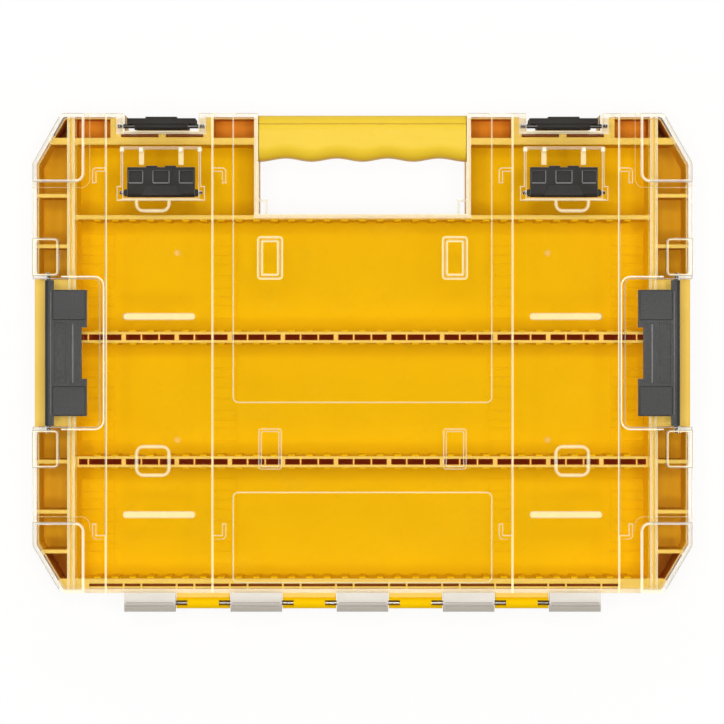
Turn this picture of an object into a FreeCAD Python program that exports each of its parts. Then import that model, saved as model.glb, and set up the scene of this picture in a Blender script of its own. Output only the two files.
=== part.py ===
import FreeCAD, Part
import os

# Bit storage case: a yellow tray with a clear hinged lid, lying flat with the lid up.
# X runs to the right, Y from the hinge towards the handle, Z up through the lid.
# The origin is under the middle of the case, on the surface that it rests on. Millimetres.

# Whole case
case_width = 360.0
case_depth = 273.0
case_height = 65.0
seam_z = 44.0
seam_gap = 0.3
corner_radius = 4.0
front_cut_x = 15.5
front_cut_y = 27.3
back_cut_x = 15.3
back_cut_y = 25.7
overrun = 2.0
sink = 0.5
running_gap = 0.05
side_gap = 0.4
seat_gap = 0.15

# Tray
tray_wall = 2.5
tray_floor = 2.5
tray_edge_round = 2.0
storage_corner_radius = 1.0
side_pocket = 16.3
side_wall = 4.3
back_wall = 7.1
back_slot = 1.4
back_slot_web = 1.2
back_slot_setback = 2.9
narrow_slot_depth = 5.0
front_pocket = 10.2
front_pocket_floor = 20.0
band_wall = 3.8
pocket_rib = 2.2
rib_front_shares = (0.247, 0.622)
rib_back_shares = (0.231, 0.561, 0.8225)

# Hand gap and carry handle
hand_gap_width = 114.0
hand_gap_depth = 55.1
handle_depth = 24.9
handle_setback = 0.2
handle_low_z = 17.0
handle_top_z = 46.0
handle_round = 8.0
finger_pitch = 28.0
finger_count = 4
finger_swell = 1.8
handle_groove_setback = 4.8
handle_groove_width = 0.8
handle_groove_cut = 1.5
gap_hook_width = 5.2
gap_hook_depth = 8.0
gap_hook_line = 1.2
gap_hook_height = 8.0
tenon_depth = 13.0
tenon_low_z = 22.0
tenon_top_z = 40.0

# Hinge
hinge_tab_count = 5
hinge_pitch = 58.3
hinge_tab_width = 28.2
hinge_reach = 6.3
lid_knuckle_radius = 4.9
tray_knuckle_radius = 3.0
hinge_rod_radius = 1.25
hinge_rod_inset = 1.0
hinge_window_length = 6.0
hinge_window_width = 3.4

# Row dividers
divider_thickness = 6.2
divider_slot = 3.0
divider_slot_floor = 5.0
divider_web = 1.2
divider_pair_gap = 1.6
divider_pitches_per_tab = 6
divider_pair_every = 3
divider_pair_first = 2
back_web_left_out = 1
divider_drop = 0.5
web_offset_share = 0.5
divider_place_shares = (0.325, 0.672)

# Lid
lid_plate = 2.0
lid_wall = 2.2
lid_rise = 3.0
pad_rise = 1.2
pad_step = 3.0
pad_width = 28.4
front_pad_depth = 37.8
back_pad_depth = 38.7
pad_corner_radius = 5.0
seal_rib = 1.4
rib_rise = 0.8
rib_width = 1.2
outer_rib_setback = 40.0
inner_rib_x = 81.8
panel_rise = 0.7
panel_width = 141.8
upper_panel_reach = 103.1
lower_panel_depth = 49.9
lower_panel_setback = 5.3
panel_corner_radius = 3.3
mark_rise = 0.8
mark_line = 1.9
inner_round_share = 0.5
frame_mark_width = 12.8
frame_mark_depth = 22.4
frame_mark_x = 50.4
frame_mark_radius = 1.5
frame_mark_shares = (0.302, 0.700)
square_mark_width = 19.6
square_mark_depth = 17.5
square_mark_x = 114.4
square_mark_radius = 5.0
square_mark_shares = (0.174, 0.725)
bar_mark_length = 39.6
bar_mark_width = 3.8
bar_mark_x = 111.0
bar_round_share = 0.48
bar_mark_shares = (0.424, 0.837)
corner_mark_reach = 7.5
corner_mark_drop = 8.7
corner_mark_line = 2.4
corner_mark_shares = (0.1134, 0.8885)

# Front latches
tower_middle_share = 0.5185
latch_notch_width = 41.0
latch_notch_depth = 9.7
latch_ear = 4.0
latch_notch_wall = 1.6
recess_wall = 8.0
latch_slot = 1.2
latch_slot_wall = 1.4
latch_slot_inset = 6.0
latch_slot_web = 4.2
front_latch_width = 37.4
front_latch_back_width = 29.2
front_latch_middle_width = 17.2
front_latch_plate = 2.9
front_latch_middle_rise = 0.8
front_latch_head_radius = 2.1
front_latch_pivot_setback = 7.0
front_latch_pivot_drop = 5.0
front_latch_head_room = 1.5
front_latch_drop = 30.0
front_latch_hook = 1.9
front_latch_hook_height = 3.0
front_latch_catch = 2.0
front_latch_catch_height = 2.6
front_latch_pin_radius = 1.2
front_latch_pin_grip = 3.2

# Stack clips
clip_pocket_width = 41.0
clip_pocket_depth = 26.5
clip_pocket_drop = 9.0
clip_pocket_setback = 19.8
clip_pocket_wall = 1.6
clip_pocket_frame = 1.5
clip_ear = 3.6
clip_ear_depth = 8.1
clip_width = 37.0
clip_reach = 14.8
clip_thickness = 4.8
clip_pivot_inset = 2.9
clip_pivot_drop = 4.4
clip_top_rise = 0.8
clip_middle_width = 16.4
clip_middle_dip = 4.0
clip_window_depth = 6.5
clip_window_cut = 1.6
clip_window_inset = 2.0
clip_window_widths = (7.5, 8.8, 7.5)
clip_window_edge = 1.0
clip_lug_depth = 3.2
clip_pin_radius = 1.1
clip_pin_grip = 2.0
pocket_rib_width = 2.8
pocket_rib_height = 3.0
pocket_rib_spread = 21.6
pocket_rib_length = 8.2

# Side latches
side_recess_width = 36.4
side_recess_length = 80.6
side_recess_drop = 8.0
side_rim = 6.5
side_recess_radius = 3.0
side_latch_pivot_setback = 8.6
side_latch_pivot_drop = 3.0
side_latch_head_radius = 2.0
side_latch_reach = 20.8
side_latch_length = 69.0
side_latch_neck = 79.6
side_latch_neck_width = 2.8
side_latch_thickness = 4.0
side_latch_waist_length = 28.0
side_latch_waist_cut = 2.8
side_latch_lip = 2.2
side_latch_lip_width = 2.4
side_latch_band_setback = 3.1
side_latch_band_width = 6.5
side_latch_band_length = 33.3
side_latch_band_cut = 1.2
side_latch_pin_radius = 1.25
side_latch_pin_grip = 3.4
lug_width = 14.4
lug_length = 20.8
lug_gap = 1.6
lug_wall = 2.4
catch_recess_depth = 13.5
catch_recess_length = 76.0
catch_recess_height = 40.5
catch_rib = 2.5
catch_rib_low_z = 9.5
catch_rib_height = 3.3

# Places worked out from the sizes above
half_width = case_width / 2
front_y = case_depth / 2
hinge_y = -case_depth / 2 + lid_knuckle_radius
hinge_z = seam_z
back_y = hinge_y + hinge_reach
middle_y = (front_y + back_y) / 2
body_depth = front_y - back_y
lid_low_z = seam_z + seam_gap
lid_top_z = case_height - lid_rise
hand_gap_y = front_y - hand_gap_depth
handle_front_y = front_y - handle_setback
handle_back_y = handle_front_y - handle_depth
handle_middle_y = (handle_front_y + handle_back_y) / 2
storage_x = half_width - tray_wall - side_pocket - side_wall
pocket_x = storage_x + side_wall
storage_front_y = hand_gap_y - tray_wall
storage_back_y = back_y + back_wall
tower_x = hand_gap_width / 2 + tray_wall
band_front_y = front_y - tray_wall - front_pocket
band_back_y = band_front_y - band_wall
latch_x = tower_x + tower_middle_share * (storage_x - tower_x)
latch_notch_y = front_y - latch_notch_depth
front_pivot_y = front_y - front_latch_pivot_setback
front_pivot_z = lid_top_z - front_latch_pivot_drop
clip_pocket_front_y = front_y - clip_pocket_setback
clip_pocket_back_y = clip_pocket_front_y - clip_pocket_depth
clip_pocket_floor_z = lid_top_z - clip_pocket_drop
clip_pivot_y = clip_pocket_back_y + clip_pivot_inset
clip_pivot_z = lid_top_z - clip_pivot_drop
side_pivot_x = half_width - side_latch_pivot_setback
side_pivot_z = lid_top_z - side_latch_pivot_drop
side_recess_x = half_width - side_recess_width
side_rim_x = half_width - side_rim
side_recess_floor_z = lid_top_z - side_recess_drop
recess_front_y = middle_y + side_recess_length / 2
recess_back_y = middle_y - side_recess_length / 2
catch_x = half_width - catch_recess_depth
divider_pitch = hinge_pitch / divider_pitches_per_tab

X_AXIS = FreeCAD.Vector(1, 0, 0)
Y_AXIS = FreeCAD.Vector(0, 1, 0)
Z_AXIS = FreeCAD.Vector(0, 0, 1)
ORIGIN = FreeCAD.Vector(0, 0, 0)


def box(x0, x1, y0, y1, z0, z1):
    """A block between two corners."""
    return Part.makeBox(x1 - x0, y1 - y0, z1 - z0, FreeCAD.Vector(x0, y0, z0))


def upright_edges(solid):
    """The edges of a solid that run straight up."""
    found = []
    for edge in solid.Edges:
        first = edge.Vertexes[0].Point
        last = edge.Vertexes[-1].Point
        along = last - first
        if along.Length > 0 and abs(along.z) / along.Length > 0.999:
            found.append(edge)
    return found


def rounded_box(x0, x1, y0, y1, z0, z1, radius):
    """A block whose four upright edges are rounded."""
    block = box(x0, x1, y0, y1, z0, z1)
    return block.makeFillet(radius, upright_edges(block))


def frame_mark(x, y, width, depth, line, radius, z0, z1):
    """A raised rectangular line with rounded corners."""
    outer = rounded_box(x - width / 2, x + width / 2, y - depth / 2, y + depth / 2, z0, z1, radius)
    inner = rounded_box(
        x - width / 2 + line, x + width / 2 - line,
        y - depth / 2 + line, y + depth / 2 - line,
        z0 - overrun, z1 + overrun, radius * inner_round_share)
    return outer.cut(inner)


def rod_along_x(x0, x1, y, z, radius):
    return Part.makeCylinder(radius, x1 - x0, FreeCAD.Vector(x0, y, z), X_AXIS)


def rod_along_y(y0, y1, x, z, radius):
    return Part.makeCylinder(radius, y1 - y0, FreeCAD.Vector(x, y0, z), Y_AXIS)


def both_sides(solid):
    """The right-hand solid and its mirror image on the left."""
    return [solid, solid.mirror(ORIGIN, X_AXIS)]


def case_outline(inset, z0, z1, radius):
    """The plan of the case with its four cut corners, set in by a wall and rounded."""
    side = half_width - inset
    front = front_y - inset
    back = back_y + inset
    front_slope = (front_cut_x ** 2 + front_cut_y ** 2) ** 0.5
    back_slope = (back_cut_x ** 2 + back_cut_y ** 2) ** 0.5
    front_slip_x = inset * (front_slope - front_cut_x) / front_cut_y
    front_slip_y = inset * (front_slope - front_cut_y) / front_cut_x
    back_slip_x = inset * (back_slope - back_cut_x) / back_cut_y
    back_slip_y = inset * (back_slope - back_cut_y) / back_cut_x
    corners = [
        (half_width - front_cut_x - front_slip_x, front),
        (side, front_y - front_cut_y - front_slip_y),
        (side, back_y + back_cut_y + back_slip_y),
        (half_width - back_cut_x - back_slip_x, back),
    ]
    ring = corners + [(-x, y) for x, y in reversed(corners)]
    points = [FreeCAD.Vector(x, y, z0) for x, y in ring]
    block = Part.Face(Part.makePolygon(points + points[:1])).extrude(Z_AXIS * (z1 - z0))
    return block.makeFillet(radius, upright_edges(block))


def tray_cells():
    """Every hollow of the tray on the right-hand side, open at the top."""
    low = tray_floor
    high = seam_z + overrun
    inside = case_outline(tray_wall, low, high, corner_radius / 2)
    ribs = [box(pocket_x, half_width, band_back_y, band_front_y, low, high)]
    ribs.append(box(pocket_x, half_width, recess_back_y, recess_front_y, low, high))
    for share in rib_front_shares:
        y = recess_front_y + share * (band_back_y - recess_front_y)
        ribs.append(box(pocket_x, half_width, y - pocket_rib / 2, y + pocket_rib / 2, low, high))
    for share in rib_back_shares:
        y = recess_back_y + share * (storage_back_y - recess_back_y)
        ribs.append(box(pocket_x, half_width, y - pocket_rib / 2, y + pocket_rib / 2, low, high))
    side_cells = box(pocket_x, half_width, storage_back_y, front_y, low, high).common(inside).cut(ribs)
    tower = rounded_box(tower_x, storage_x, hand_gap_y, band_back_y, low, high, storage_corner_radius)
    front_cell = box(
        tower_x, storage_x, band_front_y, front_y, front_pocket_floor, high).common(inside)
    half = latch_notch_width / 2 + recess_wall
    filled = box(latch_x - half, latch_x + half, band_front_y - sink, front_y, low, high)
    return [side_cells, tower, front_cell.cut(filled)] + latch_slots(half - latch_slot_inset)


def latch_slots(reach):
    """Two narrow slots in the tray's top behind a front latch, with a web between them."""
    front = latch_notch_y - latch_slot_wall
    spans = ((-reach, -latch_slot_web / 2), (latch_slot_web / 2, reach))
    return [
        box(latch_x + left, latch_x + right, front - latch_slot, front,
            seam_z - narrow_slot_depth, seam_z + overrun)
        for left, right in spans]


def latch_recess():
    """The space in front of the tray for a front latch."""
    half = latch_notch_width / 2
    return box(
        latch_x - half, latch_x + half, latch_notch_y, front_y + overrun, -overrun, seam_z + overrun)


def back_slots():
    """Narrow slots in the double wall beside the hinge, one short and one long by turns."""
    y = storage_back_y - back_slot_setback
    webs = []
    for index, x in enumerate(divider_webs(storage_x)):
        if index % divider_pair_every != back_web_left_out:
            webs.append(x)
    slots = []
    for left, right in zip(webs, webs[1:]):
        slots.append(box(
            left + back_slot_web / 2, right - back_slot_web / 2, y - back_slot, y,
            seam_z - narrow_slot_depth, seam_z + overrun))
    return slots


def divider_webs(reach):
    """Places of the cross webs along a double wall, half a pitch off its middle."""
    count = int(reach / divider_pitch - web_offset_share)
    steps = range(-count - 1, count + 1)
    return [(step + web_offset_share) * divider_pitch for step in steps]


def tab_centres():
    """The middle of each lid hinge tab along the hinge."""
    return [(index - (hinge_tab_count - 1) / 2) * hinge_pitch for index in range(hinge_tab_count)]


def tray_knuckles():
    """The tray's hinge segments, between the lid's tabs, with a window at each end."""
    half = (hinge_pitch - hinge_tab_width) / 2 - side_gap
    knuckles = []
    for left in tab_centres()[:-1]:
        x = left + hinge_pitch / 2
        barrel = rod_along_x(x - half, x + half, hinge_y, hinge_z, tray_knuckle_radius)
        web = box(x - half, x + half, hinge_y, back_y + sink, hinge_z - tray_knuckle_radius, hinge_z)
        windows = []
        for x0 in (x - half, x + half - hinge_window_length):
            windows.append(box(
                x0, x0 + hinge_window_length,
                hinge_y - hinge_window_width / 2, hinge_y + hinge_window_width / 2,
                hinge_z, hinge_z + tray_knuckle_radius + overrun))
        knuckles.append(barrel.fuse(web).cut(windows))
    return knuckles


def base_tray():
    """The yellow tray: floor, walls, towers, latch recesses and hinge knuckles."""
    block = case_outline(0, 0, seam_z, corner_radius)
    bottom = [edge for edge in block.Edges if edge.BoundBox.ZMax < tray_edge_round]
    block = block.makeFillet(tray_edge_round, bottom)
    storage = rounded_box(
        -storage_x, storage_x, storage_back_y, storage_front_y,
        tray_floor, seam_z + overrun, storage_corner_radius)
    half_gap = hand_gap_width / 2
    hand_gap = box(-half_gap, half_gap, hand_gap_y, front_y + overrun, -overrun, seam_z + overrun)
    cuts = [storage, hand_gap] + back_slots()
    catch_recess = box(
        catch_x, half_width + overrun,
        middle_y - catch_recess_length / 2, middle_y + catch_recess_length / 2,
        -overrun, catch_recess_height)
    catch_bar = box(
        catch_x - sink, catch_x + catch_rib,
        middle_y - catch_recess_length / 2, middle_y + catch_recess_length / 2,
        catch_rib_low_z, catch_rib_low_z + catch_rib_height)
    socket = box(
        half_gap - overrun, tower_x + overrun,
        handle_middle_y - tenon_depth / 2, handle_middle_y + tenon_depth / 2,
        tenon_low_z, tenon_top_z)
    for cell in tray_cells() + [latch_recess(), catch_recess.cut(catch_bar), socket]:
        cuts += both_sides(cell)
    catch_low_z = front_pivot_z - front_latch_drop + front_latch_hook_height + side_gap
    catch = box(
        latch_x - front_latch_back_width / 2, latch_x + front_latch_back_width / 2,
        latch_notch_y - sink, latch_notch_y + front_latch_catch,
        catch_low_z, catch_low_z + front_latch_catch_height)
    tray = block.cut(cuts).fuse(both_sides(catch) + tray_knuckles())
    half_rod = hinge_half_length() + overrun
    bore = rod_along_x(-half_rod, half_rod, hinge_y, hinge_z, hinge_rod_radius + running_gap)
    return tray.cut(bore).removeSplitter()


def hinge_half_length():
    """Half the length from end to end of the hinge tabs."""
    return tab_centres()[-1] + hinge_tab_width / 2


def hinge_rod():
    half = hinge_half_length() - hinge_rod_inset
    return rod_along_x(-half, half, hinge_y, hinge_z, hinge_rod_radius)


def row_divider(share):
    """A double-skinned wall across the storage space, with open pockets between its webs."""
    y = storage_back_y + share * (storage_front_y - storage_back_y)
    top = seam_z - divider_drop
    reach = storage_x - seat_gap
    wall = box(-reach, reach, y - divider_thickness / 2, y + divider_thickness / 2, tray_floor, top)
    webs = [-reach + divider_web / 2]
    for index, x in enumerate(divider_webs(reach)):
        if index % divider_pair_every == divider_pair_first:
            webs += [x - divider_pair_gap / 2, x + divider_pair_gap / 2]
        else:
            webs.append(x)
    webs.append(reach - divider_web / 2)
    slots = []
    for left, right in zip(webs, webs[1:]):
        if right - left > divider_pair_gap + divider_web:
            slots.append(box(
                left + divider_web / 2, right - divider_web / 2,
                y - divider_slot / 2, y + divider_slot / 2,
                divider_slot_floor, top + overrun))
    return wall.cut(slots)


def handle_section(x, swell):
    """A rounded outline of the grip at one place along it."""
    back = handle_back_y + swell
    block = box(x, x + sink, back, handle_front_y, handle_low_z, handle_top_z)
    long_edges = [edge for edge in block.Edges if edge.BoundBox.XLength > sink / 2]
    block = block.makeFillet(handle_round, long_edges)
    ends = [face for face in block.Faces if face.BoundBox.XLength < sink / 2]
    first = min(ends, key=lambda face: face.BoundBox.XMin)
    return first.OuterWire


def carry_handle():
    """The grip bar, with finger scallops on the inner side and a tenon at each end."""
    half = hand_gap_width / 2 - seat_gap
    sections = [handle_section(-half, 0)]
    for index in range(2 * finger_count + 1):
        swell = finger_swell * (index % 2)
        x = (index / 2 - finger_count / 2) * finger_pitch
        sections.append(handle_section(x, swell))
    sections.append(handle_section(half, 0))
    grip = Part.makeLoft(sections, True, False)
    groove_y = handle_front_y - handle_groove_setback
    groove = box(
        -half, half, groove_y - handle_groove_width / 2, groove_y + handle_groove_width / 2,
        handle_top_z - handle_groove_cut, handle_top_z + overrun)
    tenon = box(
        half - sink, tower_x,
        handle_middle_y - tenon_depth / 2 + seat_gap, handle_middle_y + tenon_depth / 2 - seat_gap,
        tenon_low_z + seat_gap, tenon_top_z - seat_gap)
    return grip.cut(groove).fuse(both_sides(tenon))


def latch_notch(grow_x, grow_y):
    """The notch in the lid's front edge for a front latch, grown by its walls."""
    half = latch_notch_width / 2 + grow_x
    return box(
        latch_x - half, latch_x + half, latch_notch_y - grow_y, front_y + overrun,
        lid_low_z - overrun, lid_top_z + overrun)


def clip_pocket(grow, z0, z1):
    """The pocket in the lid for a stack clip, grown by its walls."""
    half = clip_pocket_width / 2 + grow
    return box(
        latch_x - half, latch_x + half,
        clip_pocket_back_y - grow, clip_pocket_front_y + grow, z0, z1)


def clip_ears(z0, z1):
    """The thick part of the pocket wall that holds the clip's pin."""
    half = clip_pocket_width / 2 + clip_ear
    y0 = clip_pocket_back_y - clip_pocket_wall
    return box(latch_x - half, latch_x + half, y0, y0 + clip_ear_depth, z0, z1)


def side_recess(grow, z0, z1):
    """The recess in the lid for a side latch, open towards the side of the case."""
    return rounded_box(
        side_recess_x - grow, half_width + side_recess_radius + overrun,
        recess_back_y - grow, recess_front_y + grow, z0, z1, side_recess_radius)


def side_rim_notch(grow):
    """The notch through the lid's edge beside a side latch."""
    return box(
        side_rim_x - grow, half_width + overrun,
        recess_back_y - grow, recess_front_y + grow,
        lid_low_z - overrun, lid_top_z + overrun)


def lug_box(end, shrink, z0, z1):
    """One of the two raised boxes that carry a side latch's pin, at the front or back end."""
    near = side_recess_length / 2 + lug_gap + shrink
    far = side_recess_length / 2 + lug_gap + lug_length - shrink
    y0 = middle_y + min(end * near, end * far)
    y1 = middle_y + max(end * near, end * far)
    return box(half_width - lug_width + shrink, half_width - shrink, y0, y1, z0, z1)


def lid_hollow():
    """The space under the lid's plate, inside its walls and round its pockets."""
    inside = case_outline(lid_wall, lid_low_z - overrun, lid_top_z - lid_plate, corner_radius / 2)
    half_gap = hand_gap_width / 2 + lid_wall
    walls = [box(-half_gap, half_gap, hand_gap_y - lid_wall, front_y, lid_low_z - overrun, lid_top_z)]
    pocket_low_z = clip_pocket_floor_z - lid_plate
    recess_low_z = side_recess_floor_z - lid_plate
    kept = [
        latch_notch(latch_ear, latch_notch_wall),
        clip_pocket(clip_pocket_wall, pocket_low_z, lid_top_z),
        clip_ears(pocket_low_z, lid_top_z),
        side_recess(lid_wall, recess_low_z, lid_top_z),
        side_rim_notch(lid_wall),
    ]
    for solid in kept:
        walls += both_sides(solid)
    hollow = inside.cut(walls)
    ribs = []
    for x0 in (storage_x, pocket_x - seal_rib):
        rib = box(
            x0, x0 + seal_rib, back_y, front_y, lid_low_z + seam_gap, lid_top_z)
        ribs += both_sides(rib)
    return hollow.cut(ribs)


def lid_pads():
    """The four raised corner pads, each with a lower step round it."""
    low = lid_top_z - sink
    plan = case_outline(0, low, lid_top_z + pad_rise, corner_radius)
    x1 = half_width + pad_corner_radius + overrun
    pads = []
    for step, rise in ((pad_step, pad_rise / 2), (0, pad_rise)):
        x0 = half_width - pad_width - step
        high = lid_top_z + rise
        front = rounded_box(
            x0, x1, front_y - front_pad_depth - step, front_y + pad_corner_radius + overrun,
            low, high, pad_corner_radius)
        back = rounded_box(
            x0, x1, back_y - pad_corner_radius - overrun, back_y + back_pad_depth + step,
            low, high, pad_corner_radius)
        pads += both_sides(front.common(plan)) + both_sides(back.common(plan))
    return pads


def lid_panels():
    """The two raised panels along the middle of the lid."""
    low = lid_top_z - sink
    high = lid_top_z + panel_rise
    half = panel_width / 2
    upper = rounded_box(
        -half, half, hand_gap_y - upper_panel_reach, front_y, low, high, panel_corner_radius)
    lower_back = back_y + lower_panel_setback
    lower = rounded_box(
        -half, half, lower_back, lower_back + lower_panel_depth, low, high, panel_corner_radius)
    return [upper, lower]


def from_front(share):
    """A place along the depth of the case, as a share measured from the front edge."""
    return front_y - share * body_depth


def lid_marks():
    """Raised ribs, bars, frames and corner marks on top of the lid."""
    low = lid_top_z - sink
    high = lid_top_z + mark_rise
    marks = []
    for x in (inner_rib_x, half_width - outer_rib_setback):
        marks.append(box(
            x - rib_width / 2, x + rib_width / 2, back_y, front_y, low, lid_top_z + rib_rise))
    for share in frame_mark_shares:
        marks.append(frame_mark(
            frame_mark_x, from_front(share), frame_mark_width, frame_mark_depth,
            mark_line, frame_mark_radius, low, high + panel_rise))
    for share in square_mark_shares:
        marks.append(frame_mark(
            square_mark_x, from_front(share), square_mark_width, square_mark_depth,
            mark_line, square_mark_radius, low, high))
    for share in bar_mark_shares:
        y = from_front(share)
        marks.append(rounded_box(
            bar_mark_x - bar_mark_length / 2, bar_mark_x + bar_mark_length / 2,
            y - bar_mark_width / 2, y + bar_mark_width / 2, low, high,
            bar_mark_width * bar_round_share))
    for share, turn in zip(corner_mark_shares, (-1, 1)):
        y = from_front(share)
        for rib_x, way in ((inner_rib_x, -1), (half_width - outer_rib_setback, 1)):
            x = rib_x + way * corner_mark_reach
            marks.append(corner_mark(x, y, -way, turn, low, high))
    mirrored = []
    for mark in marks:
        mirrored += both_sides(mark)
    return mirrored


def corner_mark(x, y, way, turn, z0, z1):
    """An L-shaped mark with its corner at (x, y)."""
    x1 = x + way * corner_mark_reach
    y1 = y + turn * corner_mark_drop
    line_x = x + way * corner_mark_line
    line_y = y + turn * corner_mark_line
    along = box(min(x, x1), max(x, x1), min(y, line_y), max(y, line_y), z0, z1)
    across = box(min(x, line_x), max(x, line_x), min(y, y1), max(y, y1), z0, z1)
    return along.fuse(across)


def clip_details():
    """The raised frame and the two floor ribs of a clip pocket."""
    outer = clip_pocket(clip_pocket_frame, lid_top_z - sink, lid_top_z + rib_rise)
    ears = clip_ears(lid_top_z - sink, lid_top_z + rib_rise)
    hole = clip_pocket(0, clip_pocket_floor_z, lid_top_z + overrun)
    frame = outer.fuse(ears).cut(hole)
    ribs = []
    for way in (-1, 1):
        x = latch_x + way * pocket_rib_spread / 2
        ribs.append(box(
            x - pocket_rib_width / 2, x + pocket_rib_width / 2,
            clip_pocket_front_y - pocket_rib_length, clip_pocket_front_y + sink,
            clip_pocket_floor_z - sink, clip_pocket_floor_z + pocket_rib_height))
    return [frame] + ribs


def gap_hook():
    """A small open loop in the back corner of the hand gap."""
    half_gap = hand_gap_width / 2
    low = lid_top_z - gap_hook_height
    outer = box(
        half_gap - gap_hook_width, half_gap + sink,
        hand_gap_y - sink, hand_gap_y + gap_hook_depth, low, lid_top_z)
    inner = box(
        half_gap - gap_hook_width + gap_hook_line, half_gap + overrun,
        hand_gap_y, hand_gap_y + gap_hook_depth - gap_hook_line, low - overrun, lid_top_z + overrun)
    return outer.cut(inner.cut(box(
        half_gap, half_gap + overrun, hand_gap_y, front_y, low - overrun, lid_top_z + overrun)))


def lid_tabs():
    """The clear hinge tabs that wrap the rod."""
    half = hinge_tab_width / 2
    tabs = []
    for x in tab_centres():
        barrel = rod_along_x(x - half, x + half, hinge_y, hinge_z, lid_knuckle_radius)
        web = box(x - half, x + half, hinge_y, back_y + lid_wall, lid_low_z, hinge_z + lid_knuckle_radius)
        tabs.append(barrel.fuse(web))
    return tabs


def lid():
    """The clear lid with its notches, pockets, lugs and hinge tabs."""
    shell = case_outline(0, lid_low_z, lid_top_z, corner_radius)
    half_gap = hand_gap_width / 2
    lugs = []
    for end in (-1, 1):
        lugs += both_sides(lug_box(end, 0, side_recess_floor_z, case_height))
    added = lid_pads() + lid_panels() + lid_marks() + lugs + lid_tabs()
    lid_solid = shell.cut(lid_hollow()).fuse(added)
    openings = [
        latch_notch(0, 0),
        clip_pocket(0, clip_pocket_floor_z, case_height + overrun),
        side_recess(0, side_recess_floor_z, case_height + overrun),
        side_rim_notch(0),
    ]
    for end in (-1, 1):
        openings.append(lug_box(end, lug_wall, lid_low_z, case_height - lid_plate))
    hand_gap = box(
        -half_gap, half_gap, hand_gap_y, front_y + overrun,
        lid_low_z - overrun, case_height + overrun)
    holes = [hand_gap]
    for opening in openings:
        holes += both_sides(opening)
    lid_solid = lid_solid.cut(holes)
    details = []
    for detail in clip_details() + [gap_hook()]:
        details += both_sides(detail)
    lid_solid = lid_solid.fuse(details)
    half_rod = hinge_half_length() + overrun
    bores = [rod_along_x(-half_rod, half_rod, hinge_y, hinge_z, hinge_rod_radius + running_gap)]
    bores += both_sides(front_pin(running_gap))
    bores += both_sides(clip_pin(running_gap))
    bores += both_sides(side_pin(running_gap))
    return lid_solid.cut(bores).removeSplitter()


def front_pin(gap):
    """A front latch's pin, or its bore when a gap is given."""
    half = latch_notch_width / 2 + front_latch_pin_grip + gap
    return rod_along_x(
        latch_x - half, latch_x + half, front_pivot_y, front_pivot_z, front_latch_pin_radius + gap)


def clip_pin(gap):
    """A stack clip's pin, or its bore when a gap is given."""
    half = clip_pocket_width / 2 + clip_pin_grip + gap
    return rod_along_x(
        latch_x - half, latch_x + half, clip_pivot_y, clip_pivot_z, clip_pin_radius + gap)


def side_pin(gap):
    """A side latch's pin, or its bore when a gap is given."""
    half = side_recess_length / 2 + side_latch_pin_grip + gap
    return rod_along_y(
        middle_y - half, middle_y + half, side_pivot_x, side_pivot_z, side_latch_pin_radius + gap)


def front_latch():
    """A latch that hangs from its pin in front of the tray and hooks under the catch."""
    plate_back = front_pivot_y + front_latch_head_room
    plate_front = plate_back + front_latch_plate
    top = front_pivot_z + front_latch_head_room
    low = front_pivot_z - front_latch_drop
    half = front_latch_width / 2
    plate = box(latch_x - half, latch_x + half, plate_back, plate_front, low, top)
    half = front_latch_middle_width / 2
    middle = box(
        latch_x - half, latch_x + half,
        plate_back, plate_front + front_latch_middle_rise, low, top)
    half = front_latch_back_width / 2
    head = rod_along_x(
        latch_x - half, latch_x + half, front_pivot_y, front_pivot_z, front_latch_head_radius)
    neck = box(
        latch_x - half, latch_x + half,
        front_pivot_y, plate_back + sink, front_pivot_z - front_latch_head_radius, front_pivot_z)
    hook = box(
        latch_x - half, latch_x + half,
        plate_back - front_latch_hook, plate_back + sink, low, low + front_latch_hook_height)
    latch = plate.fuse([middle, head, neck, hook])
    return latch.cut(front_pin(running_gap)).removeSplitter()


def stack_clip():
    """A clip that lies in its pocket and swings up on its pin."""
    half = clip_width / 2
    low = clip_pivot_z - clip_thickness / 2
    top = clip_pivot_z + clip_thickness / 2
    tip = clip_pivot_y + clip_reach
    shift = latch_x
    plate = box(shift - half, shift + half, clip_pivot_y, tip - clip_top_rise, low, top)
    head = rod_along_x(shift - half, shift + half, clip_pivot_y, clip_pivot_z, clip_thickness / 2)
    half_middle = clip_middle_width / 2
    middle = box(shift - half_middle, shift + half_middle, clip_pivot_y, tip, low, top)
    dip = box(
        shift - clip_middle_dip / 2, shift + clip_middle_dip / 2,
        tip - clip_top_rise, tip + overrun, low - overrun, top + overrun)
    half_lugs = clip_pocket_width / 2 - side_gap
    lugs = rod_along_x(
        shift - half_lugs, shift + half_lugs, clip_pivot_y, clip_pivot_z, clip_lug_depth / 2)
    clip = plate.fuse([head, middle, lugs]).cut(dip)
    window_front = tip - clip_top_rise - clip_window_inset
    edges = (
        shift - half + clip_window_edge,
        shift - clip_window_widths[1] / 2,
        shift + half - clip_window_edge - clip_window_widths[2])
    windows = []
    for x0, width in zip(edges, clip_window_widths):
        windows.append(box(
            x0, x0 + width, window_front - clip_window_depth, window_front,
            top - clip_window_cut, top + overrun))
    return clip.cut(windows + [clip_pin(running_gap)]).removeSplitter()


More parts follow.
